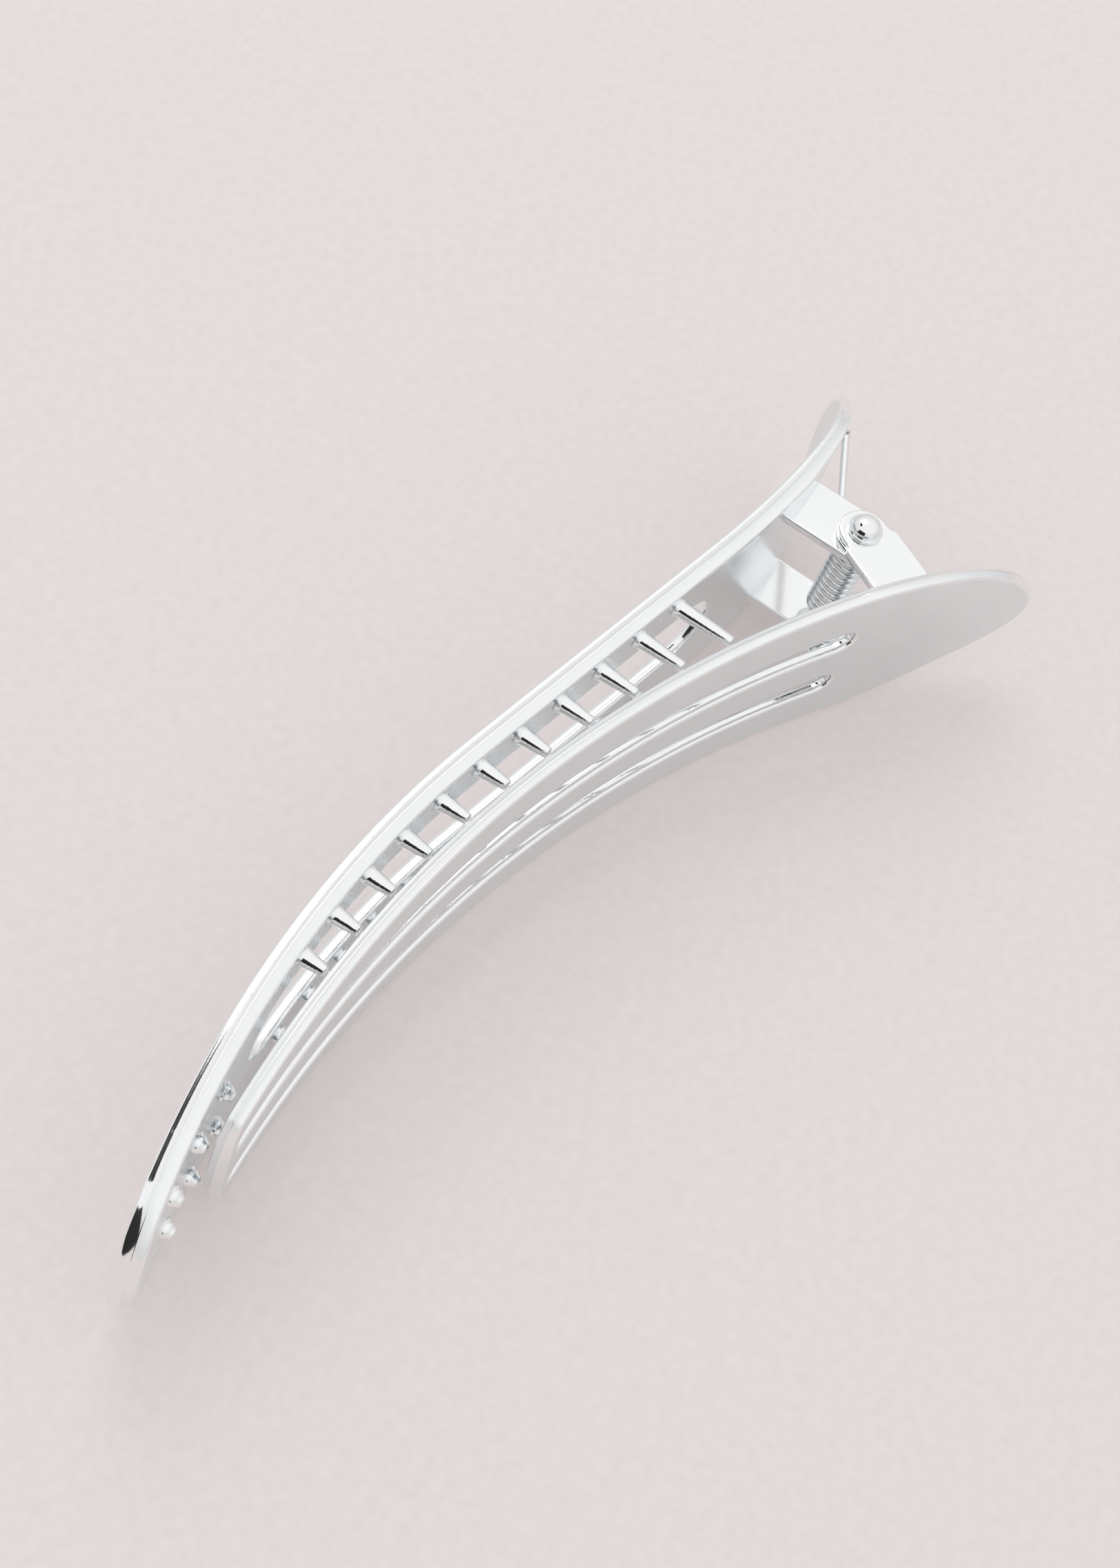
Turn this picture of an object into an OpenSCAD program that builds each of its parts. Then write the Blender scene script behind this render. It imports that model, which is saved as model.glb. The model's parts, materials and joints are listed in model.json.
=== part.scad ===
// Long curved alligator hair clip: two cast jaws on one riveted pin, held shut by a torsion spring.
// Millimetres. X runs from the jaw tips (-X) to the thumb paddles (+X), Y is the direction in
// which the jaws open, with the back jaw on +Y, and Z is the pin axis. The clip lies on its side.
// The origin is the centre of the bottom of the closed clip.

/* [Jaws] */
// Length of the back jaw from tip to paddle end
clip_length = 111.5; // [109:0.5:113]
// Width of both jaws across the hinge
jaw_width = 19.8; // [19:0.2:22]
// Depth of the back jaw's casting
back_depth = 2.1; // [1.9:0.1:2.3]
// Depth of the raised rim round the front jaw
front_depth = 1.5; // [1.4:0.1:1.8]
// Thickness of the front jaw's web between its rims
web_thickness = 1.1; // [0.9:0.1:1.2]
// Width of the rim seen on the inner face
rim_width = 1.3; // [1:0.1:1.6]
// Radius of the back jaw's long arc
back_arc = 102; // [100:1:106]
// Radius of the front jaw's long arc
front_arc = 120; // [118:1:123]

/* [Slots] */
// Width of the single slot down the back jaw
back_slot_width = 9.6; // [8:0.2:10.2]
// Width of each slot in the front jaw
front_slot_width = 2.7; // [2.2:0.1:3.2]
// Distance of each front slot from the middle
front_slot_offset = 3.5; // [3.2:0.1:3.8]

/* [Teeth] */
// Teeth in each long row beside the back slot
row_teeth = 11; // [8:1:11]
// Pairs of teeth on the solid tip of the back jaw
tip_teeth = 3; // [2:1:3]
// Spacing of the teeth
tooth_pitch = 4.45; // [4.2:0.05:4.5]
// Diameter of a tooth where it leaves the web
tooth_root_d = 1.6; // [1.3:0.1:1.7]
// Diameter of a tooth at its end
tooth_end_d = 0.9; // [0.6:0.1:1]

/* [Hinge] */
// Diameter of the pin's shaft
pin_d = 2.0; // [1.8:0.1:2.1]
// Diameter of the pin's domed head
head_d = 3.3; // [3:0.1:3.6]
// Thickness of each hinge lug
lug_thickness = 0.85; // [0.7:0.05:0.9]
// Width of each hinge lug
lug_width = 5.9; // [5.4:0.1:6.2]

/* [Spring] */
// Wire diameter of the torsion spring
wire_d = 0.75; // [0.6:0.05:0.8]
// Turns in the spring's coil
coil_turns = 11; // [8:1:12]

/* [Hidden] */
$fn = 48;
half_w = jaw_width / 2;
metal = [0.80, 0.80, 0.79];
steel = [0.70, 0.70, 0.71];

// The closed clip measured from the back jaw's tip: x along the clip, y across the jaws.
// A path is a start point, a heading in degrees and legs of [length, radius]; a positive radius
// turns left, a negative one right, and 0 is straight.
back_start = [0, 1.5];
back_heading = 18.9;
back_legs = [[53, -back_arc], [31.6, 0], [16.4, 107], [13, 22]];
front_start = [11.2, -0.2];
front_heading = 7.5;
front_legs = [[80.5, -front_arc], [10, 0], [9.8, -60]];
front_tip_x = 12.2;
path_step = 1.6;

// The back jaw thins towards its paddle's end, between these distances from its tip
paddle_thin = [95, 110.5];
paddle_depth = 0.85;
// A low lip stands round each inner face
lip = 0.1;

// The pin axis, measured from the back jaw's tip
pin = [95.2, -10.7];

// Hinge stack along Z, measured from the middle
back_lug_in = 5.8;
lug_gap = 0.1;
front_lug_in = back_lug_in + lug_thickness + lug_gap;
front_lug_out = front_lug_in + lug_thickness;
bore_clearance = 0.05;
head_gap = 0.05;
head_height = 1.45;
tail_height = 0.8;

// Slots
back_slot = [21.5, 84];
front_slot = [13.9, 87.3];

// Teeth: the first tooth and height of each row, and how far the teeth reach
tip_first = 8.1;
row_first = 28.3;
tip_row_z = 3.5;
row_z = 7.5;
pitch_growth = 0.07;
tooth_root_sink = 0.5;
tip_reach = 0.75;
row_gap = 0.3;
row_gap_growth = 0.07;

// Turns a path into points, each [x, y, heading]
function leg_points(p, len, r, n) = [for (i = [1 : n])
    let (s = len * i / n, a = r == 0 ? 0 : s / r * 180 / PI)
    r == 0 ? [p[0] + s * cos(p[2]), p[1] + s * sin(p[2]), p[2]]
           : [p[0] + r * (sin(p[2] + a) - sin(p[2])), p[1] - r * (cos(p[2] + a) - cos(p[2])), p[2] + a]];
function path_points(p, legs, i = 0) = i == len(legs) ? [p]
    : let (n = ceil(legs[i][0] / path_step), q = leg_points(p, legs[i][0], legs[i][1], n))
      concat([p], [for (k = [0 : n - 2]) q[k]], path_points(q[n - 1], legs, i + 1));

back_path = path_points([back_start[0], back_start[1], back_heading], back_legs);
front_path = path_points([front_start[0], front_start[1], front_heading], front_legs);

front_end = front_path[len(front_path) - 1];

// The shift that centres the closed clip over the origin
y_top = max([for (p = back_path) p[1]]);
shift = [-clip_length / 2, -(y_top + front_end[1]) / 2, half_w];

// A point at depth d inside the outer face; side is -1 for the back jaw and 1 for the front jaw
function inset(p, d, side) = [p[0] - side * d * sin(p[2]), p[1] + side * d * cos(p[2])];

// Height of a path above y = 0 at x, at depth d
function path_y(path, x, d, side) = lookup(x, [for (p = path) inset(p, d, side)]);

// Depth of the back jaw at x
function back_d(x) = back_depth - (back_depth - paddle_depth)
    * min(1, max(0, (x - paddle_thin[0]) / (paddle_thin[1] - paddle_thin[0])));

// The slice of a jaw from its outer face to the depth ds gives for each point of its path
module slice(path, side, ds) {
    n = len(path);
    polygon([for (i = [0 : n - 1]) inset(path[i], 0, side),
             for (i = [n - 1 : -1 : 0]) inset(path[i], ds[i], side)]);
}

// The open space inside the rim, from the depth ds gives for each point
module web_space(path, side, ds) {
    n = len(path);
    polygon([for (i = [0 : n - 1]) inset(path[i], ds[i], side),
             for (i = [n - 1 : -1 : 0]) inset(path[i], back_depth + 1, side)]);
}

// Half-width of a jaw's outline, t being the distance from its tip, with rounded ends
function taper(t, tip_half, len_taper) = t > len_taper ? half_w
    : tip_half + (half_w - tip_half) * sin(90 * t / len_taper);
function end_round(t, r) = t >= r ? 1 : sqrt(max(0, 1 - pow(1 - t / r, 2)));
function half_width(t, len, tip_half, tip_r, paddle_r) =
    taper(t, tip_half, len * 0.45) * end_round(t, tip_r) * end_round(len - t, paddle_r);

// The outline of a jaw seen along Y, shrunk by m all round
module outline(x0, x1, tip_half, tip_r, paddle_r, m) {
    l = x1 - x0;
    n_round = 14;
    ts = concat([for (i = [0 : n_round]) tip_r * (1 - cos(90 * i / n_round))],
                [for (i = [1 : 9]) tip_r + (l - tip_r - paddle_r) * i / 10],
                [for (i = [n_round : -1 : 0]) l - paddle_r * (1 - cos(90 * i / n_round))]);
    k = (l - 2 * m) / l;
    pts = [for (t = ts) [x0 + m + t * k, half_width(t, l, tip_half, tip_r, paddle_r) * (1 - m / half_w)]];
    polygon(concat(pts, [for (i = [len(pts) - 1 : -1 : 0]) [pts[i][0], -pts[i][1]]]));
}

// Stands an outline drawn in x and z upright so that it cuts along Y
module along_y() {
    translate([0, 60, 0]) rotate([90, 0, 0]) linear_extrude(height = 120) children();
}

// A jaw's rimmed plate: rim_ds deep at its edge and web_ds deep inside the rim, for each path point
module shell(path, side, x0, x1, tip_half, tip_r, paddle_r, rim_ds, web_ds) {
    difference() {
        intersection() {
            linear_extrude(height = jaw_width, center = true) slice(path, side, rim_ds);
            along_y() outline(x0, x1, tip_half, tip_r, paddle_r, 0);
        }
        intersection() {
            linear_extrude(height = jaw_width, center = true) web_space(path, side, web_ds);
            along_y() outline(x0, x1, tip_half, tip_r, paddle_r, rim_width);
        }
    }
}

// A through slot with round ends, from x0 to x1 at height z
module slot(x0, x1, z, w) {
    along_y() translate([x0 + w / 2, z - w / 2]) square([x1 - x0 - w, w]);
    for (x = [x0 + w / 2, x1 - w / 2])
        translate([x, 0, z]) rotate([90, 0, 0]) cylinder(h = 120, d = w, center = true);
}

// One tapered tooth growing in -Y from the back jaw's web
module tooth(x, z, reach) {
    y = path_y(back_path, x, back_depth - lip - tooth_root_sink, -1);
    translate([x, y, z]) rotate([90, 0, 0])
        cylinder(h = reach + tooth_root_sink, d1 = tooth_root_d, d2 = tooth_end_d, $fn = 24);
}

// Distance of tooth i from the row's first tooth
function tooth_x(first, i) = first + tooth_pitch * i + pitch_growth * i * i / 2;

// A long-row tooth stops above the front jaw's rim, by a gap that grows towards the hinge
function row_reach(x, i) = path_y(back_path, x, back_depth - lip, -1)
    - path_y(front_path, x, front_depth, 1) - row_gap - row_gap_growth * i;

module teeth() {
    for (i = [0 : tip_teeth - 1], z = [-tip_row_z, tip_row_z])
        tooth(tooth_x(tip_first, i), z, tip_reach);
    for (i = [0 : row_teeth - 1], z = [-row_z, row_z])
        tooth(tooth_x(row_first, i), z, row_reach(tooth_x(row_first, i), i));
}

// A flat hinge lug: a bar from the jaw to a round eye about the pin, at z0 and mirrored
module lugs(angle, reach, z0) {
    for (m = [0, 1]) mirror([0, 0, m]) translate([pin[0], pin[1], z0]) {
        cylinder(h = lug_thickness, d = lug_width);
        rotate([0, 0, angle]) translate([0, -lug_width / 2, 0]) cube([reach, lug_width, lug_thickness]);
    }
}

module pin_bore(d) {
    translate([pin[0], pin[1], -half_w]) cylinder(h = jaw_width, d = d);
}

module back_jaw() {
    color(metal) difference() {
        union() {
            difference() {
                shell(back_path, -1, 0, clip_length, 8, 7, 10,
                      [for (p = back_path) back_d(p[0])], [for (p = back_path) back_d(p[0]) - lip]);
                slot(back_slot[0], back_slot[1], 0, back_slot_width);
            }
            teeth();
            lugs(90, 8, back_lug_in);
        }
        pin_bore(pin_d);
    }
}

module front_jaw() {
    color(metal) difference() {
        union() {
            difference() {
                shell(front_path, 1, front_tip_x, front_end[0], 7.6, 2.2, 19,
                      [for (p = front_path) front_depth], [for (p = front_path) web_thickness]);
                for (z = [-front_slot_offset, front_slot_offset])
                    slot(front_slot[0], front_slot[1], z, front_slot_width);
            }
            lugs(-116, 7.4, front_lug_in);
        }
        pin_bore(pin_d + 2 * bore_clearance);
    }
}

// The rivet: shaft, stepped domed head and peened tail, drawn as one turned profile
module hinge_pin() {
    z_head = front_lug_out + head_gap;
    r = pin_d / 2;
    rh = head_d / 2;
    color(steel) translate([pin[0], pin[1], 0]) rotate_extrude() polygon(concat(
        [[0, -z_head - tail_height]],
        [for (a = [15 : 15 : 90]) [(rh - 0.3) * sin(a), -z_head - tail_height * cos(a)]],
        [[r, -z_head], [r, z_head], [rh, z_head], [rh, z_head + 0.25], [rh - 0.2, z_head + 0.3]],
        [for (a = [80 : -10 : 0]) [(rh - 0.2) * sin(a), z_head + 0.3 + (head_height - 0.3) * cos(a)]]));
}

// One round bar between two points
module bar(a, b, d) {
    v = b - a;
    l = norm(v);
    translate(a) rotate([0, acos(v[2] / l), atan2(v[1], v[0])]) cylinder(h = l, d = d, $fn = 16);
}

// The torsion spring: the closed coil as a plain tube, with a straight leg against each paddle
module torsion_spring() {
    coil_l = coil_turns * (wire_d + 0.1);
    ri = pin_d / 2 + 0.1;
    rm = ri + wire_d / 2;
    z_leg = coil_l / 2 - wire_d / 2;
    color(steel) translate([pin[0], pin[1], 0]) {
        difference() {
            cylinder(h = coil_l, r = ri + wire_d, center = true);
            cylinder(h = coil_l + 1, r = ri, center = true);
        }
        bar([0, rm, z_leg], [12, 7.3, z_leg], wire_d);
        bar([0, -rm, -z_leg], [6, -10.3, -z_leg], wire_d);
    }
}

translate(shift) back_jaw();
translate(shift) front_jaw();
translate(shift) hinge_pin();
translate(shift) torsion_spring();
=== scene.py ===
# Looks of the alligator hair clip: camera, studio, and a finished mesh for each piece of the CAD model.
import json
import math

import bpy
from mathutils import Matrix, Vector
from mathutils.geometry import delaunay_2d_cdt


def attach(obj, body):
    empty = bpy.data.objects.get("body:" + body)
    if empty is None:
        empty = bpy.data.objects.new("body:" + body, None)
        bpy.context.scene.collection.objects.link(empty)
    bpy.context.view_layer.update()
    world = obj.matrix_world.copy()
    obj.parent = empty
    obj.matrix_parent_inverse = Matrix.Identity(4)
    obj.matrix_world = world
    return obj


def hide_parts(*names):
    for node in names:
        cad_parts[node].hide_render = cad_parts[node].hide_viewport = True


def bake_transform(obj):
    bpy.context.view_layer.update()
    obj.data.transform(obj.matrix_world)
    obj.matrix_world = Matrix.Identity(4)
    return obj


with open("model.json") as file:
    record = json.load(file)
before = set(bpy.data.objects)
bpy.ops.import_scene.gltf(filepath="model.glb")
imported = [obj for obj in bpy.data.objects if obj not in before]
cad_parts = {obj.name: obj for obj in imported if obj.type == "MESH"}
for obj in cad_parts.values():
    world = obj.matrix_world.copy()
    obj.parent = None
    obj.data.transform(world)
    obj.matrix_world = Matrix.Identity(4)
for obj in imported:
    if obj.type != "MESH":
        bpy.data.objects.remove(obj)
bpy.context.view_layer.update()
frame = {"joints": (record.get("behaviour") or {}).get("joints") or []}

MM = 0.001
BACK = "back"
FRONT = "front"

# The clip's own measures in millimetres, as in the CAD source: x from the back jaw's tip.
LENGTH = 111.5
HALF_W = 9.9
BACK_DEPTH = 2.1
PADDLE_DEPTH = 0.85
LIP = 0.1
FRONT_DEPTH = 1.5
FRONT_WEB = 1.1
PIN_X = 95.2
PIN_Y = -10.7
COIL_TURNS = 11
WIRE = 0.75
COIL_R = 1.475
BACK_LUG_IN = 5.8
FRONT_LUG_IN = 6.75
LUG_T = 0.85
LUG_W = 5.9
TOOTH_ROW_Z = 7.5
TIP_ROW_Z = 3.5
FRONT_SLOT_Z = 3.5
# Where the spring's legs end, from the pin
TOP_LEG_END = (12.0, 7.3)
LOW_LEG_END = (6.0, -10.3)
# Each jaw's ends: half the tip's width, the tip's rounding and the paddle's rounding
BACK_ENDS = (8.0, 7.0, 10.0)
FRONT_ENDS = (7.6, 2.2, 19.0)

# Measures of the finished look, which are its own: they may differ a little from the CAD source.
TIP_TOOTH_REACH = 1.0
FRONT_START = 12.2
COIL_GAP = 0.1
# Each slot's start, end and narrowest width
BACK_SLOT = (21.9, 83.6, 8.8)
FRONT_SLOT = (13.9, 87.3, 2.7)
# Each lug's direction from the pin in degrees, its reach and its eye's radius
BACK_LUG = (90, 8.0, 2.92)
FRONT_LUG = (-116, 7.4, 2.4)

# Base colour of the dark reflection cards
CARD_SHADE = 0.01

# Offset from the clip's own measures to the row frame, taken from the hinge's stated place
HINGE = [1000 * v for v in frame["joints"][0]["pos_m"]]
SHIFT = (HINGE[0] - PIN_X, HINGE[1] - PIN_Y, HINGE[2])


def place(x, y, z):
    """A point of the clip's own measures as a vector in the row frame, in metres."""
    return Vector(((x + SHIFT[0]) * MM, (y + SHIFT[1]) * MM, (z + SHIFT[2]) * MM))


# ---------------------------------------------------------------- camera and studio

def make_camera():
    data = bpy.data.cameras.new("camera")
    data.sensor_fit = "HORIZONTAL"
    data.sensor_width = 36.0
    data.lens = 77.6
    data.clip_start = 0.01
    data.clip_end = 20.0
    camera = bpy.data.objects.new("camera", data)
    camera.location = (-0.10701, -0.01470, 0.18479)
    camera.rotation_euler = (math.radians(30.516), math.radians(-12.652), math.radians(-57.869))
    bpy.context.collection.objects.link(camera)
    bpy.context.scene.camera = camera


def area_light(name, location, target, side, power):
    data = bpy.data.lights.new(name, "AREA")
    data.shape = "RECTANGLE"
    data.size = side
    data.size_y = side
    data.energy = power
    lamp = bpy.data.objects.new(name, data)
    lamp.location = location
    aim = Vector(target) - Vector(location)
    lamp.rotation_euler = aim.to_track_quat("-Z", "Y").to_euler()
    bpy.context.collection.objects.link(lamp)


def new_material(name):
    material = bpy.data.materials.new(name)
    material.use_nodes = True
    nodes = material.node_tree.nodes
    return material, nodes, material.node_tree.links, nodes["Principled BSDF"]


def floor_material():
    """Matt pale paper with a faint mottle, lit a little from within so that shadows on it stay soft."""
    material, nodes, links, shader = new_material("floor_paper")
    coords = nodes.new("ShaderNodeTexCoord")
    noise = nodes.new("ShaderNodeTexNoise")
    noise.inputs["Scale"].default_value = 900.0
    noise.inputs["Detail"].default_value = 3.0
    ramp = nodes.new("ShaderNodeValToRGB")
    ramp.color_ramp.elements[0].position = 0.3
    ramp.color_ramp.elements[0].color = (0.436, 0.400, 0.391, 1.0)
    ramp.color_ramp.elements[1].position = 0.7
    ramp.color_ramp.elements[1].color = (0.456, 0.420, 0.411, 1.0)
    links.new(coords.outputs["Object"], noise.inputs["Vector"])
    links.new(noise.outputs["Fac"], ramp.inputs["Fac"])
    links.new(ramp.outputs["Color"], shader.inputs["Base Color"])
    links.new(ramp.outputs["Color"], shader.inputs["Emission Color"])
    shader.inputs["Emission Strength"].default_value = 0.68
    shader.inputs["Roughness"].default_value = 0.9
    shader.inputs["Specular IOR Level"].default_value = 0.2
    return material


def make_card(name, corners):
    """A plain dark card beside the set, seen only in reflections, as the dark shapes that metal mirrors."""
    mesh = bpy.data.meshes.new(name)
    mesh.from_pydata(corners, [], [(0, 1, 2, 3)])
    card = bpy.data.objects.new(name, mesh)
    bpy.context.collection.objects.link(card)
    material, nodes, links, shader = new_material(name + "_matt")
    shader.inputs["Base Color"].default_value = (CARD_SHADE, CARD_SHADE, CARD_SHADE, 1.0)
    shader.inputs["Roughness"].default_value = 0.95
    mesh.materials.append(material)
    card.visible_camera = False
    card.visible_diffuse = False
    card.visible_shadow = False


def studio_sky():
    """A soft tent of light: brightest overhead, a little darker towards the horizon."""
    world = bpy.data.worlds.new("studio")
    world.use_nodes = True
    nodes, links = world.node_tree.nodes, world.node_tree.links
    coords = nodes.new("ShaderNodeTexCoord")
    split = nodes.new("ShaderNodeSeparateXYZ")
    ramp = nodes.new("ShaderNodeValToRGB")
    ramp.color_ramp.elements[0].position = 0.0
    ramp.color_ramp.elements[0].color = (0.70, 0.705, 0.71, 1.0)
    ramp.color_ramp.elements[1].position = 0.75
    ramp.color_ramp.elements[1].color = (1.0, 1.0, 1.0, 1.0)
    links.new(coords.outputs["Generated"], split.inputs["Vector"])
    links.new(split.outputs["Z"], ramp.inputs["Fac"])
    links.new(ramp.outputs["Color"], nodes["Background"].inputs["Color"])
    nodes["Background"].inputs["Strength"].default_value = 0.96
    bpy.context.scene.world = world


def make_studio():
    bpy.context.scene.view_settings.view_transform = "Standard"
    bpy.ops.mesh.primitive_plane_add(size=6.0, location=(0.0, 0.0, -0.0001))
    floor = bpy.context.object
    floor.name = "floor"
    floor.data.materials.append(floor_material())
    studio_sky()
    area_light("key", (0.35, 0.40, 0.75), (0.0, 0.0, 0.0), 0.5, 1.6)
    left = [(-0.40, -0.16, 0.0), (-0.40, 0.30, 0.0), (-0.40, 0.30, 0.42), (-0.40, -0.16, 0.42)]
    make_card("flag_left", left)
    above_tip = [(-0.10, 0.22, 0.45), (0.06, 0.22, 0.45), (0.115, 0.37, 0.45), (-0.10, 0.37, 0.45)]
    make_card("flag_tip", above_tip)


make_camera()
make_studio()


# ---------------------------------------------------------------- the jaws' long curves

class Path:
    """A chain of arcs: start point, heading in degrees, legs of [length, radius], as in the CAD source."""

    def __init__(self, start, heading, legs, side, step=0.05):
        self.side = side
        x, y, turn = start[0], start[1], math.radians(heading)
        self.rows = [(x, y, turn)]
        for length, radius in legs:
            count = int(round(length / step))
            ds = length / count
            for _ in range(count):
                dturn = ds / radius if radius else 0.0
                x += ds * math.cos(turn + dturn / 2)
                y += ds * math.sin(turn + dturn / 2)
                turn += dturn
                self.rows.append((x, y, turn))

    def at(self, x):
        """(y, heading) of the outer face's line at x."""
        rows = self.rows
        low, high = 0, len(rows) - 1
        if x <= rows[0][0]:
            a, b = rows[0], rows[1]
        elif x >= rows[-1][0]:
            a, b = rows[-2], rows[-1]
        else:
            while high - low > 1:
                mid = (low + high) // 2
                if rows[mid][0] <= x:
                    low = mid
                else:
                    high = mid
            a, b = rows[low], rows[high]
        t = (x - a[0]) / (b[0] - a[0])
        return a[1] + t * (b[1] - a[1]), a[2] + t * (b[2] - a[2])

    def point(self, x, w, d):
        """The point at x along the clip, w across it and d deep into the metal."""
        y, turn = self.at(x)
        return place(x - self.side * d * math.sin(turn), y + self.side * d * math.cos(turn), w)

    def inner_y(self, x, d):
        """Height of the line at depth d, straight above x."""
        y, turn = self.at(x)
        return y + self.side * d / math.cos(turn)


BACK_PATH = Path((0.0, 1.5), 18.9, [(53.0, -102.0), (31.6, 0.0), (16.4, 107.0), (13.0, 22.0)], -1)
FRONT_PATH = Path((11.2, -0.2), 7.5, [(80.5, -120.0), (10.0, 0.0), (9.8, -60.0)], 1)


def half_width(t, length, tip_half, tip_r, paddle_r):
    """Half the jaw's width at distance t from its tip: a taper with rounded ends."""
    reach = length * 0.45
    grown = 1.0 if t > reach else math.sin(math.pi / 2 * t / reach)
    width = tip_half + (HALF_W - tip_half) * grown
    for s, r in ((t, tip_r), (length - t, paddle_r)):
        if s < r:
            width *= math.sqrt(max(0.0, 1 - (1 - s / r) ** 2))
    return width


def outline_points(x0, x1, tip_half, tip_r, paddle_r):
    """The jaw's outline seen square on, anticlockwise, as (x, w) points."""
    length = x1 - x0
    ts = [tip_r * (1 - math.cos(math.pi / 2 * i / 22)) for i in range(23)]
    straight = length - tip_r - paddle_r
    ts += [tip_r + straight * i / 90 for i in range(1, 90)]
    ts += [length - paddle_r * (1 - math.cos(math.pi / 2 * i / 40)) for i in range(40, -1, -1)]
    lower = [(x0 + t, -half_width(t, length, tip_half, tip_r, paddle_r)) for t in ts]
    upper = [(x, -w) for x, w in reversed(lower[1:-1])]
    return lower + upper


def stadium_points(slot, z):
    """A slot's outline, clockwise, as (x, w) points."""
    x0, x1, width = slot
    r = width / 2
    points = []
    n_side = int((x1 - x0 - width) / 1.2)
    for i in range(n_side):
        points.append((x0 + r + (x1 - x0 - width) * i / n_side, z + r))
    for i in range(16):
        a = math.pi / 2 - math.pi * i / 16
        points.append((x1 - r + r * math.cos(a), z + r * math.sin(a)))
    for i in range(n_side):
        points.append((x1 - r - (x1 - x0 - width) * i / n_side, z - r))
    for i in range(16):
        a = -math.pi / 2 - math.pi * i / 16
        points.append((x0 + r + r * math.cos(a), z + r * math.sin(a)))
    return points


def offset_loop(points, amount):
    """The closed loop moved to its left by amount."""
    n = len(points)
    moved = []
    for i in range(n):
        ax, ay = points[i - 1]
        bx, by = points[(i + 1) % n]
        dx, dy = bx - ax, by - ay
        size = math.hypot(dx, dy)
        moved.append((points[i][0] - dy / size * amount, points[i][1] + dx / size * amount))
    return moved


def inside(point, loop):
    """True if point is inside the closed loop."""
    x, y = point
    hit = False
    for i in range(len(loop)):
        ax, ay = loop[i - 1]
        bx, by = loop[i]
        if (ay > y) != (by > y) and x < (bx - ax) * (y - ay) / (by - ay) + ax:
            hit = not hit
    return hit


def clear_of(point, loop, gap):
    """True if point is further than gap from every point of the loop."""
    return all((point[0] - x) ** 2 + (point[1] - y) ** 2 > gap * gap for x, y in loop)


class Builder:
    """Collects vertices and faces, each face with a material number."""

    def __init__(self):
        self.verts = []
        self.faces = []
        self.kinds = []

    def add(self, points):
        first = len(self.verts)
        self.verts.extend(points)
        return list(range(first, len(self.verts)))

    def quad_strip(self, a, b, kind, closed=True):
        n = len(a)
        for i in range(n if closed else n - 1):
            j = (i + 1) % n
            self.faces.append((a[i], a[j], b[j], b[i]))
            self.kinds.append(kind)

    def poly(self, ids, kind):
        self.faces.append(tuple(ids))
        self.kinds.append(kind)

    def finish(self, name, materials, weld=0.000004):
        mesh = bpy.data.meshes.new(name)
        mesh.from_pydata([tuple(v) for v in self.verts], [], self.faces)
        for material in materials:
            mesh.materials.append(material)
        for face, kind in zip(mesh.polygons, self.kinds):
            face.material_index = kind
            face.use_smooth = True
        mesh.update()
        piece = bpy.data.objects.new(name, mesh)
        bpy.context.collection.objects.link(piece)
        bpy.context.view_layer.objects.active = piece
        piece.select_set(True)
        bpy.ops.object.mode_set(mode="EDIT")
        bpy.ops.mesh.select_all(action="SELECT")
        bpy.ops.mesh.remove_doubles(threshold=weld)
        bpy.ops.mesh.normals_make_consistent(inside=False)
        bpy.ops.object.mode_set(mode="OBJECT")
        piece.select_set(False)
        return piece


SATIN, EDGE, INNER, LUG, TOOTH = 0, 1, 2, 3, 4


def fill_region(build, path, rim_loop, slot_loops, depth_of, kind, flip):
    """Fills the face between the rim loop and the slot loops with a fine triangle net on the curved jaw."""
    points = list(rim_loop)
    edges = [(i, (i + 1) % len(rim_loop)) for i in range(len(rim_loop))]
    for loop in slot_loops:
        first = len(points)
        points += loop
        edges += [(first + i, first + (i + 1) % len(loop)) for i in range(len(loop))]
    xs = [p[0] for p in rim_loop]
    x = min(xs) + 0.9
    row = 0
    while x < max(xs):
        w = -HALF_W + 0.45 * (row % 2)
        while w < HALF_W:
            p = (x, w)
            if inside(p, rim_loop) and not any(inside(p, s) for s in slot_loops):
                if clear_of(p, rim_loop, 0.5) and all(clear_of(p, s, 0.5) for s in slot_loops):
                    points.append(p)
            w += 0.9
        x += 1.3
        row += 1
    out = delaunay_2d_cdt([Vector(p) for p in points], edges, [], 0, 1e-6)
    flat, faces = out[0], out[2]
    ids = build.add([path.point(p.x, p.y, depth_of(p.x, p.y)) for p in flat])
    for face in faces:
        centre = (sum(flat[i].x for i in face) / 3, sum(flat[i].y for i in face) / 3)
        if not inside(centre, rim_loop) or any(inside(centre, s) for s in slot_loops):
            continue
        order = [ids[i] for i in face]
        build.poly(reversed(order) if flip else order, kind)


def back_depth(x):
    """Depth of the back jaw's casting at x, thinner towards the paddle's end."""
    return BACK_DEPTH - (BACK_DEPTH - PADDLE_DEPTH) * min(1.0, max(0.0, (x - 95.0) / 15.5))


def back_web(x):
    """Depth of the back jaw's web at x, a lip's height below its rim."""
    return back_depth(x) - LIP


def front_depth(x):
    """Depth of the front jaw's rim, the same all along."""
    return FRONT_DEPTH


def front_web(x):
    """Depth of the front jaw's web, the same all along."""
    return FRONT_WEB


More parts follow.
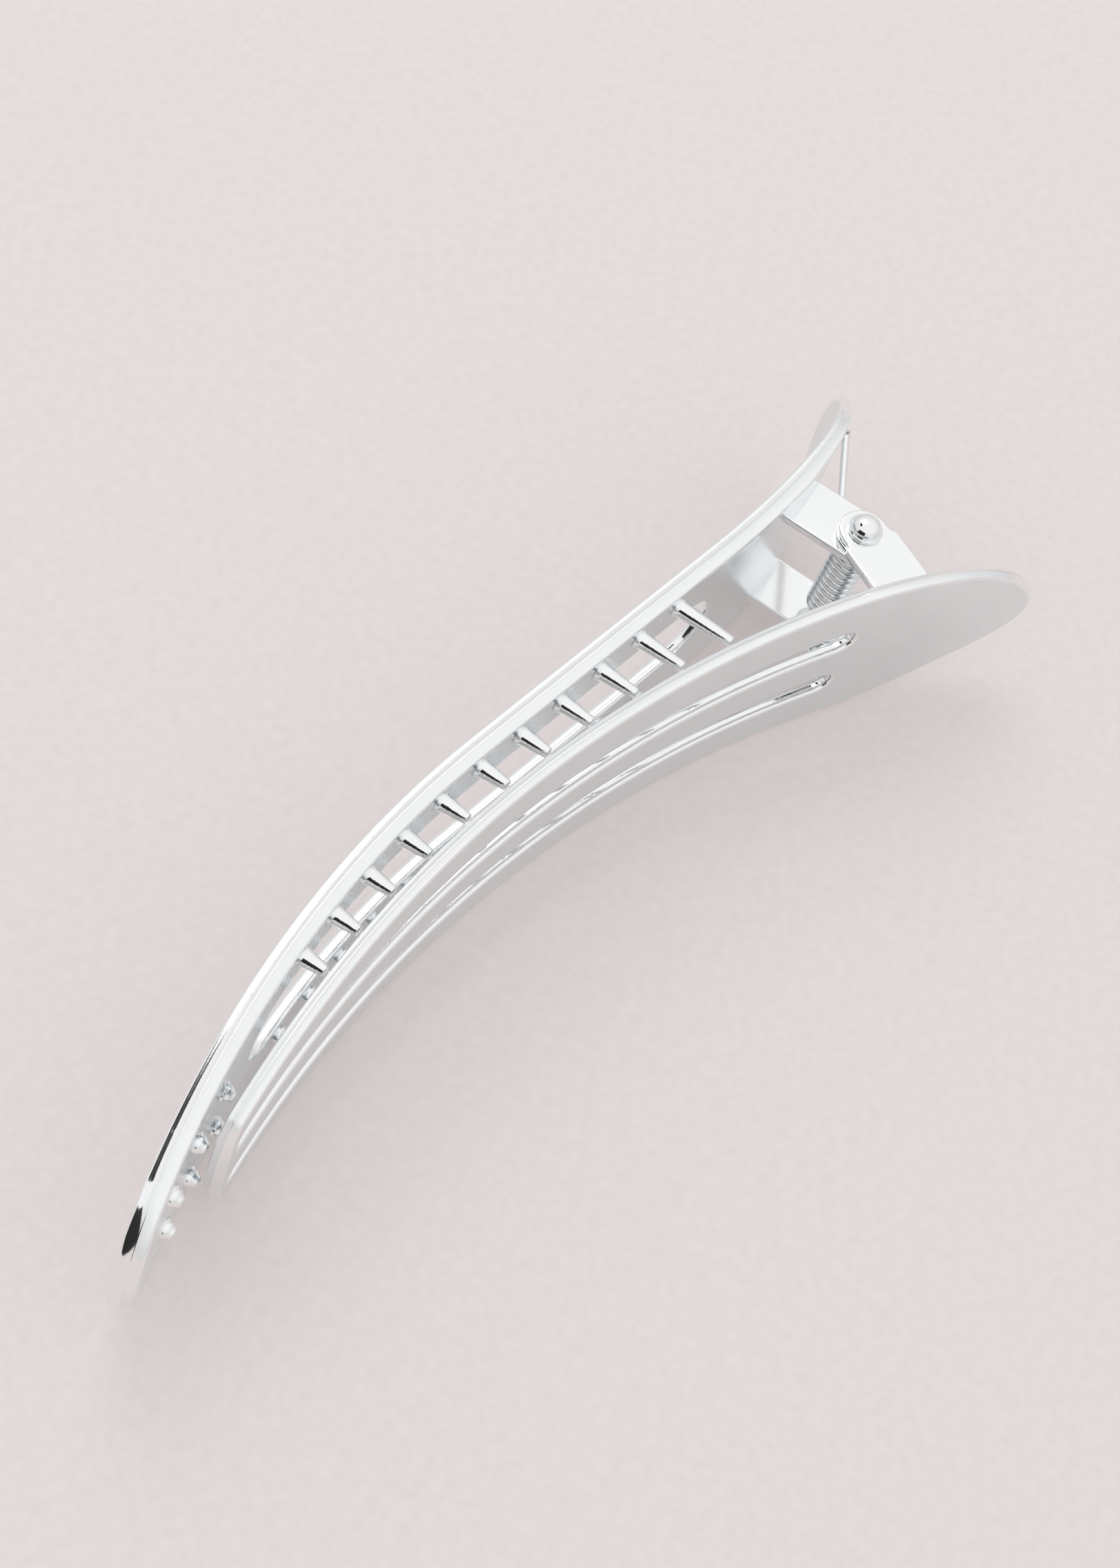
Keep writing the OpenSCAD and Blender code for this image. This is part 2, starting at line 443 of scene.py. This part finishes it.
# The edge's section: (inset from the outline, share of the way from outer face to rim top, material).
# A rounded outer edge, two draft facets that meet at a fine parting ridge, and the rim's top.
EDGE_SECTION = [
    (0.62, 0.0, SATIN), (0.46, 0.0, SATIN), (0.34, 0.017, EDGE), (0.24, 0.053, EDGE), (0.19, 0.113, EDGE),
    (0.165, 0.179, EDGE), (0.04, 0.477, EDGE), (0.005, 0.493, EDGE), (0.005, 0.526, EDGE),
    (0.04, 0.543, EDGE), (0.165, 0.841, EDGE), (0.20, 0.92, EDGE), (0.29, 0.98, EDGE), (0.42, 1.0, EDGE),
    (0.75, 1.0, EDGE),
]
# The rim's inner wall: (inset, share of the way from the web up to the rim's top, material).
# The front jaw's is narrower, to clear the slots' ends in its short tip bar.
BACK_INNER_SECTION = [(0.90, 0.94, EDGE), (1.00, 0.80, INNER), (1.16, 0.25, INNER), (1.30, 0.05, INNER),
                      (1.5, 0.0, INNER), (1.75, 0.0, INNER)]
FRONT_INNER_SECTION = [(0.81, 0.94, EDGE), (0.86, 0.80, INNER), (0.94, 0.25, INNER), (1.00, 0.05, INNER),
                       (1.07, 0.0, INNER)]
# A slot's wall: (how far outside the slot, share of the web's thickness from the outer face, material)
FRONT_SLOT_SECTION = [(0.45, 0.0, SATIN), (0.30, 0.0, SATIN), (0.16, 0.027, EDGE), (0.06, 0.1, EDGE),
                      (0.0, 0.22, EDGE), (0.0, 0.76, EDGE), (0.03, 0.89, EDGE), (0.09, 0.97, INNER),
                      (0.16, 1.0, INNER)]
BACK_SLOT_SECTION = [(2.25, 0.0, SATIN), (2.10, 0.0, SATIN), (1.90, 0.03, EDGE), (1.2, 0.15, EDGE),
                     (0.6, 0.28, EDGE), (0.2, 0.42, EDGE), (0.03, 0.56, EDGE), (0.0, 0.68, EDGE),
                     (0.0, 0.90, EDGE), (0.03, 0.96, EDGE), (0.12, 0.99, INNER), (0.28, 1.0, INNER),
                     (0.45, 1.0, INNER)]


def jaw_shell(build, path, outline, slots, sections, depth_at, web_at, crown_height):
    """The cast plate of one jaw: crowned outer face, rim, web and slots; sections is (slot, inner wall)."""
    slot_section, inner_section = sections

    def crown(x, w):
        return 0.012 + crown_height * (w / HALF_W) ** 2

    rings = []
    for inset, share, kind in EDGE_SECTION:
        loop = offset_loop(outline, inset)
        pts = []
        for x, w in loop:
            base = crown(x, w)
            pts.append(path.point(x, w, base + share * (depth_at(x) - base)))
        rings.append((loop, build.add(pts), kind))
    for inset, share, kind in inner_section:
        loop = offset_loop(outline, inset)
        pts = [path.point(x, w, web_at(x) + share * (depth_at(x) - web_at(x))) for x, w in loop]
        rings.append((loop, build.add(pts), kind))
    for (_, a, _), (_, b, kind) in zip(rings, rings[1:]):
        build.quad_strip(a, b, kind)
    outer_slots, inner_slots = [], []
    for slot in slots:
        strips = []
        for outside, share, kind in slot_section:
            loop = offset_loop(slot, outside)
            pts = []
            for x, w in loop:
                base = crown(x, w)
                pts.append(path.point(x, w, base + share * (web_at(x) - base)))
            strips.append((loop, build.add(pts), kind))
        for (_, a, _), (_, b, kind) in zip(strips, strips[1:]):
            build.quad_strip(a, b, kind)
        outer_slots.append(strips[0][0])
        inner_slots.append(strips[-1][0])
    fill_region(build, path, rings[0][0], outer_slots, crown, SATIN, False)
    fill_region(build, path, rings[-1][0], inner_slots, lambda x, w: web_at(x), INNER, True)


def tooth(build, x, y_web, z, y_end):
    """A tapered cast tooth with a flared root and a blunt rounded end, growing in -Y."""
    reach = y_web - y_end
    flare = min(0.5, reach * 0.4)
    profile = [(1.02, -0.12), (0.98, 0.0), (0.88, flare * 0.25), (0.82, flare * 0.6), (0.79, flare)]
    round_end = 0.22
    for i in range(1, 5):
        t = i / 5
        profile.append((0.79 - 0.27 * t, flare + (reach - flare - round_end) * t))
    for i in range(6):
        a = math.pi / 2 * i / 6
        profile.append((0.52 * math.cos(a) ** 0.7, reach - round_end + round_end * math.sin(a)))
    sides = 28
    rings = []
    for radius, down in profile:
        ring = []
        for k in range(sides):
            a = 2 * math.pi * k / sides
            ring.append(place(x + radius * math.cos(a), y_web - down, z + radius * math.sin(a)))
        rings.append(build.add(ring))
    for a, b in zip(rings, rings[1:]):
        build.quad_strip(a, b, TOOTH)
    build.poly(rings[0], TOOTH)
    build.poly(rings[-1], TOOTH)


def lug_outline(angle, reach, eye_r):
    """Outline of a hinge lug in the plane of the clip: a round eye, shoulders and a straight bar."""
    half = LUG_W / 2 - 0.03
    points = []
    for i in range(33):
        a = math.pi / 2 + math.pi * i / 32
        points.append((eye_r * math.cos(a), eye_r * math.sin(a)))
    step = half - eye_r
    shouldered = step > 0.1
    if shouldered:
        points += [(0.5, -eye_r), (0.9, -eye_r - step * 0.25), (1.1, -half + 0.12), (1.35, -half)]
    points += [(reach - 1.4, -half), (reach - 0.6, -half), (reach, -half)]
    points += [(reach, half), (reach - 0.6, half), (reach - 1.4, half)]
    if shouldered:
        points += [(1.35, half), (1.1, half - 0.12), (0.9, eye_r + step * 0.25), (0.5, eye_r)]
    c, s = math.cos(math.radians(angle)), math.sin(math.radians(angle))
    return [(PIN_X + px * c - py * s, PIN_Y + px * s + py * c) for px, py in points]


def lug(build, points, z0, z1, bore):
    """A flat lug between two heights with softened edges and a round bore."""
    hole = [(PIN_X + bore * math.cos(-2 * math.pi * i / 40), PIN_Y + bore * math.sin(-2 * math.pi * i / 40))
            for i in range(40)]
    bevel, bore_share = 0.26, 0.6
    section = [(bevel, 0.0), (0.14, 0.0), (0.05, 0.035), (0.0, 0.13)]
    steps = [(inset, z0 + dz) for inset, dz in section]
    steps += [(inset, z1 - dz) for inset, dz in reversed(section)]
    for closed_loop in (points, hole):
        rings = []
        for inset, z in steps:
            inset = inset if closed_loop is points else inset * bore_share
            rings.append(build.add([place(x, y, z) for x, y in offset_loop(closed_loop, inset)]))
        for a, b in zip(rings, rings[1:]):
            build.quad_strip(a, b, LUG)
    for z in (z0, z1):
        rim = offset_loop(points, bevel)
        eye = offset_loop(hole, bevel * bore_share)
        flat_pts = rim + eye
        n = len(rim)
        edges = [(i, (i + 1) % n) for i in range(n)]
        edges += [(n + i, n + (i + 1) % len(eye)) for i in range(len(eye))]
        out = delaunay_2d_cdt([Vector(p) for p in flat_pts], edges, [], 0, 1e-6)
        ids = build.add([place(p.x, p.y, z) for p in out[0]])
        for face in out[2]:
            centre = (sum(out[0][i].x for i in face) / 3, sum(out[0][i].y for i in face) / 3)
            if inside(centre, rim) and not inside(centre, eye):
                build.poly([ids[i] for i in face], LUG)


# ---------------------------------------------------------------- materials

def plated_metal(name, base, rough, grain, pits, tone, cool=0.012):
    """Bright plating over a casting: a faint cool tint, cloudy colour, fine grain and shallow pits."""
    red, blue = base * (1.0 - cool), base * (1.0 + cool / 2)
    material, nodes, links, shader = new_material(name)
    coords = nodes.new("ShaderNodeTexCoord")
    cloud = nodes.new("ShaderNodeTexNoise")
    cloud.inputs["Scale"].default_value = 260.0
    cloud.inputs["Detail"].default_value = 4.0
    links.new(coords.outputs["Object"], cloud.inputs["Vector"])
    colour = nodes.new("ShaderNodeValToRGB")
    colour.color_ramp.elements[0].position = 0.3
    colour.color_ramp.elements[0].color = (red - tone, base - tone, blue - tone, 1.0)
    colour.color_ramp.elements[1].position = 0.7
    colour.color_ramp.elements[1].color = (red + tone, base + tone, blue + tone, 1.0)
    links.new(cloud.outputs["Fac"], colour.inputs["Fac"])
    links.new(colour.outputs["Color"], shader.inputs["Base Color"])
    shader.inputs["Metallic"].default_value = 1.0
    spread = nodes.new("ShaderNodeMapRange")
    spread.inputs["To Min"].default_value = rough * 0.75
    spread.inputs["To Max"].default_value = rough * 1.25
    links.new(cloud.outputs["Fac"], spread.inputs["Value"])
    links.new(spread.outputs["Result"], shader.inputs["Roughness"])
    fine = nodes.new("ShaderNodeTexNoise")
    fine.inputs["Scale"].default_value = 5200.0
    fine.inputs["Detail"].default_value = 2.0
    links.new(coords.outputs["Object"], fine.inputs["Vector"])
    grain_bump = nodes.new("ShaderNodeBump")
    grain_bump.inputs["Strength"].default_value = grain
    grain_bump.inputs["Distance"].default_value = 0.00002
    links.new(fine.outputs["Fac"], grain_bump.inputs["Height"])
    cells = nodes.new("ShaderNodeTexVoronoi")
    cells.inputs["Scale"].default_value = 620.0
    links.new(coords.outputs["Object"], cells.inputs["Vector"])
    dents = nodes.new("ShaderNodeMapRange")
    dents.inputs["From Min"].default_value = 0.0
    dents.inputs["From Max"].default_value = 0.22
    links.new(cells.outputs["Distance"], dents.inputs["Value"])
    pit_bump = nodes.new("ShaderNodeBump")
    pit_bump.inputs["Strength"].default_value = pits
    pit_bump.inputs["Distance"].default_value = 0.00006
    links.new(dents.outputs["Result"], pit_bump.inputs["Height"])
    links.new(grain_bump.outputs["Normal"], pit_bump.inputs["Normal"])
    links.new(pit_bump.outputs["Normal"], shader.inputs["Normal"])
    return material


SATIN_METAL = plated_metal("satin_plate", 0.85, 0.30, 0.25, 0.0, 0.012, 0.045)
EDGE_METAL = plated_metal("polished_edge", 0.93, 0.09, 0.06, 0.14, 0.01)
INNER_METAL = plated_metal("cast_inner", 0.94, 0.26, 0.20, 0.10, 0.015, 0.04)
LUG_METAL = plated_metal("lug_plate", 0.95, 0.12, 0.08, 0.0, 0.008)
TOOTH_METAL = plated_metal("cast_tooth", 0.95, 0.05, 0.5, 0.05, 0.01)
JAW_METALS = [SATIN_METAL, EDGE_METAL, INNER_METAL, LUG_METAL, TOOTH_METAL]
PIN_METAL = plated_metal("rivet_plate", 0.92, 0.05, 0.03, 0.0, 0.008)
WIRE_METAL = plated_metal("spring_wire", 0.88, 0.16, 0.10, 0.0, 0.015)


# ---------------------------------------------------------------- the pieces

def tooth_x(first, i):
    """Place of tooth i along the clip: a spacing that starts near 4.45 and grows by 0.07 each time."""
    return first + 4.45 * i + 0.07 * i * i / 2


def make_back_jaw():
    build = Builder()
    outline = outline_points(0.0, LENGTH - 0.4, *BACK_ENDS)
    slots = [stadium_points(BACK_SLOT, 0.0)]
    sections = (BACK_SLOT_SECTION, BACK_INNER_SECTION)
    jaw_shell(build, BACK_PATH, outline, slots, sections, back_depth, back_web, 0.04)
    for i in range(3):
        x = tooth_x(8.1, i)
        y = BACK_PATH.inner_y(x, back_web(x))
        for z in (-TIP_ROW_Z, TIP_ROW_Z):
            tooth(build, x, y, z, y - TIP_TOOTH_REACH)
    for i in range(11):
        x = tooth_x(28.3, i)
        y = BACK_PATH.inner_y(x, back_web(x))
        y_end = FRONT_PATH.inner_y(x, FRONT_DEPTH) + 0.3 + 0.07 * i
        for z in (-TOOTH_ROW_Z, TOOTH_ROW_Z):
            tooth(build, x, y, z, y_end)
    points = lug_outline(*BACK_LUG)
    for z0 in (BACK_LUG_IN, -BACK_LUG_IN - LUG_T):
        lug(build, points, z0, z0 + LUG_T, 1.0)
    piece = build.finish("back_jaw_casting", JAW_METALS)
    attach(piece, BACK)
    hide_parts("back_jaw")


def make_front_jaw():
    build = Builder()
    outline = outline_points(FRONT_START, FRONT_PATH.rows[-1][0] - 0.05, *FRONT_ENDS)
    slots = [stadium_points(FRONT_SLOT, z) for z in (-FRONT_SLOT_Z, FRONT_SLOT_Z)]
    sections = (FRONT_SLOT_SECTION, FRONT_INNER_SECTION)
    jaw_shell(build, FRONT_PATH, outline, slots, sections, front_depth, front_web, 0.16)
    points = lug_outline(*FRONT_LUG)
    for z0 in (FRONT_LUG_IN, -FRONT_LUG_IN - LUG_T):
        lug(build, points, z0, z0 + LUG_T, 1.05)
    piece = build.finish("front_jaw_casting", JAW_METALS)
    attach(piece, FRONT)
    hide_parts("front_jaw")


def make_pin():
    """The rivet, turned: shaft, stepped domed head and a peened tail."""
    build = Builder()
    z_head = FRONT_LUG_IN + LUG_T + 0.05
    profile = [(0.0, -z_head - 0.8)]
    for i in range(1, 13):
        a = math.pi / 2 * i / 12
        profile.append((1.33 * math.sin(a), -z_head - 0.78 * math.cos(a)))
    profile += [(1.33, -z_head), (0.99, -z_head), (0.99, z_head), (1.60, z_head), (1.64, z_head + 0.05)]
    profile += [(1.64, z_head + 0.22), (1.58, z_head + 0.29), (1.48, z_head + 0.30), (1.46, z_head + 0.34)]
    for i in range(16):
        a = math.pi / 2 * (1 - i / 16)
        profile.append((1.45 * math.sin(a), z_head + 0.36 + 1.08 * math.cos(a)))
    profile.append((0.0, z_head + 1.44))
    sides = 56
    rings = []
    for radius, z in profile[1:-1]:
        ring = []
        for k in range(sides):
            a = 2 * math.pi * k / sides
            ring.append(place(PIN_X + radius * math.cos(a), PIN_Y + radius * math.sin(a), z))
        rings.append(build.add(ring))
    for a, b in zip(rings, rings[1:]):
        build.quad_strip(a, b, 0)
    for ring, (radius, z) in ((rings[0], profile[0]), (rings[-1], profile[-1])):
        tip = build.add([place(PIN_X, PIN_Y, z)])[0]
        for k in range(sides):
            build.poly((ring[k], ring[(k + 1) % sides], tip), 0)
    piece = build.finish("rivet", [PIN_METAL])
    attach(piece, BACK)
    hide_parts("hinge_pin")


def spring_line():
    """The wire's centre line: bent end and leg on the back paddle, coil, leg on the front paddle."""
    z_top = COIL_TURNS * (WIRE + COIL_GAP) / 2 - WIRE / 2
    points = []
    n_leg = 22
    start_a = math.radians(122)
    end_a = math.radians(-130)
    leg_x, leg_y = TOP_LEG_END
    points.append((leg_x - 0.35, leg_y + 0.10, z_top + 0.75))
    points.append((leg_x - 0.12, leg_y + 0.08, z_top + 0.55))
    points.append((leg_x - 0.02, leg_y + 0.03, z_top + 0.22))
    for i in range(n_leg):
        t = i / n_leg
        x0, y0 = COIL_R * math.cos(start_a), COIL_R * math.sin(start_a)
        points.append((leg_x + (x0 - leg_x) * t, leg_y + (y0 - leg_y) * t, z_top))
    sweep = 2 * math.pi * COIL_TURNS + (end_a - start_a)
    count = COIL_TURNS * 36
    for i in range(count + 1):
        a = start_a + sweep * i / count
        points.append((COIL_R * math.cos(a), COIL_R * math.sin(a), z_top - 2 * z_top * i / count))
    x0, y0 = points[-1][0], points[-1][1]
    for i in range(1, n_leg + 1):
        t = i / n_leg
        points.append((x0 + (LOW_LEG_END[0] - x0) * t, y0 + (LOW_LEG_END[1] - y0) * t, -z_top))
    return [place(PIN_X + x, PIN_Y + y, z) for x, y, z in points]


def sweep_wire(build, line, radius, sides):
    """A round wire along a line of points, with closed ends."""
    rings = []
    normal = Vector((0.0, 0.0, 1.0))
    for i, p in enumerate(line):
        ahead = line[min(i + 1, len(line) - 1)] - line[max(i - 1, 0)]
        ahead.normalize()
        normal = (normal - ahead * normal.dot(ahead)).normalized()
        across = ahead.cross(normal)
        ring = []
        for k in range(sides):
            a = 2 * math.pi * k / sides
            ring.append(p + (normal * math.cos(a) + across * math.sin(a)) * radius)
        rings.append(build.add(ring))
    for a, b in zip(rings, rings[1:]):
        build.quad_strip(a, b, 0)
    build.poly(rings[0], 0)
    build.poly(rings[-1], 0)


def make_spring():
    build = Builder()
    sweep_wire(build, spring_line(), WIRE / 2 * MM, 14)
    piece = build.finish("spring_coil", [WIRE_METAL], weld=0.0000001)
    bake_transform(piece)
    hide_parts("torsion_spring")


make_back_jaw()
make_front_jaw()
make_pin()
make_spring()
